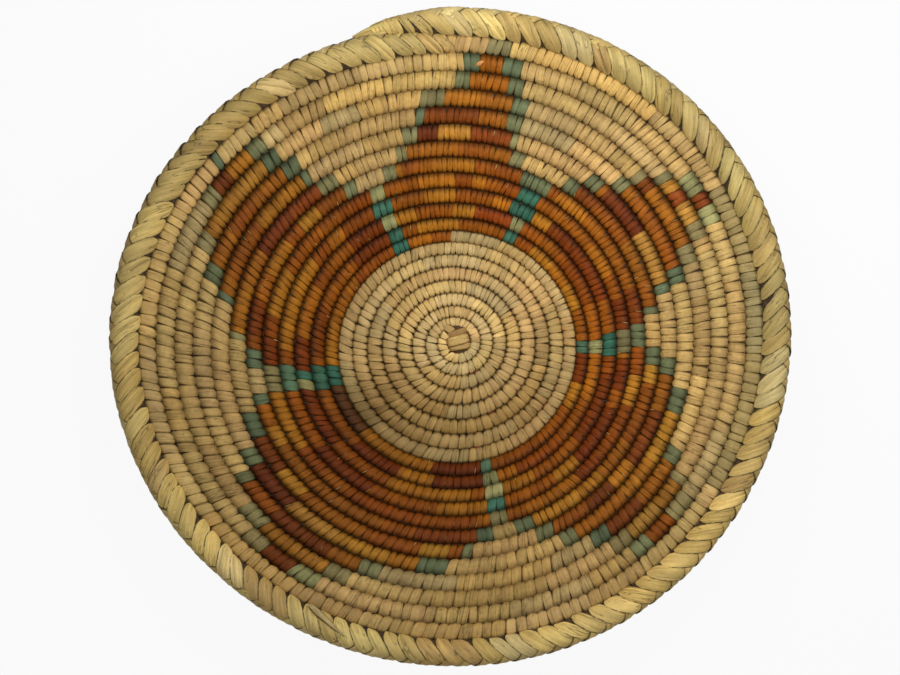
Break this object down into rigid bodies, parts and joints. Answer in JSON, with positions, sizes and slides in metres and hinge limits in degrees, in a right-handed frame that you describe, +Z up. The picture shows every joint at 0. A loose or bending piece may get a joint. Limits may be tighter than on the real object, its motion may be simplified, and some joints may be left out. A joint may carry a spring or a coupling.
{
  "type": "coiled basket bowl",
  "caption": "Shallow flared bowl of coiled grass wrapped in leaf strips, with a rust star pattern and a braided rim, for fruit or display.",
  "frame": {"origin": "middle of the start knot, on the plane that the bowl rests on", "axes": "+Z up along the bowl's axis, out of its mouth; +X along the rim's slightly longer way; the coil winds counter-clockwise outwards seen from +Z"},
  "size_m": [0.3488, 0.337, 0.0703],
  "materials": {
    "natural_leaf": "dried split palm leaf, undyed, satin",
    "dyed_leaf": "dried palm leaf dyed rust and teal, satin",
    "braid_leaf": "dried palm leaf, undyed, plaited",
    "dry_grass": "dry grass bundle, matt",
    "knot_leaf": "folded dried palm leaf"
  },
  "bodies": {
    "root": {"grass_core": "dry_grass", "start_knot": "knot_leaf", "start_fold_strip": "knot_leaf", "base_wrapping": "natural_leaf", "star_ring_wrapping": "dyed_leaf", "petal_wrapping": "dyed_leaf", "border_wrapping": "natural_leaf", "rim_braid": "braid_leaf", "rim_braid_tail": "braid_leaf", "loose_leaf_end": "natural_leaf"}
  },
  "joints": []
}
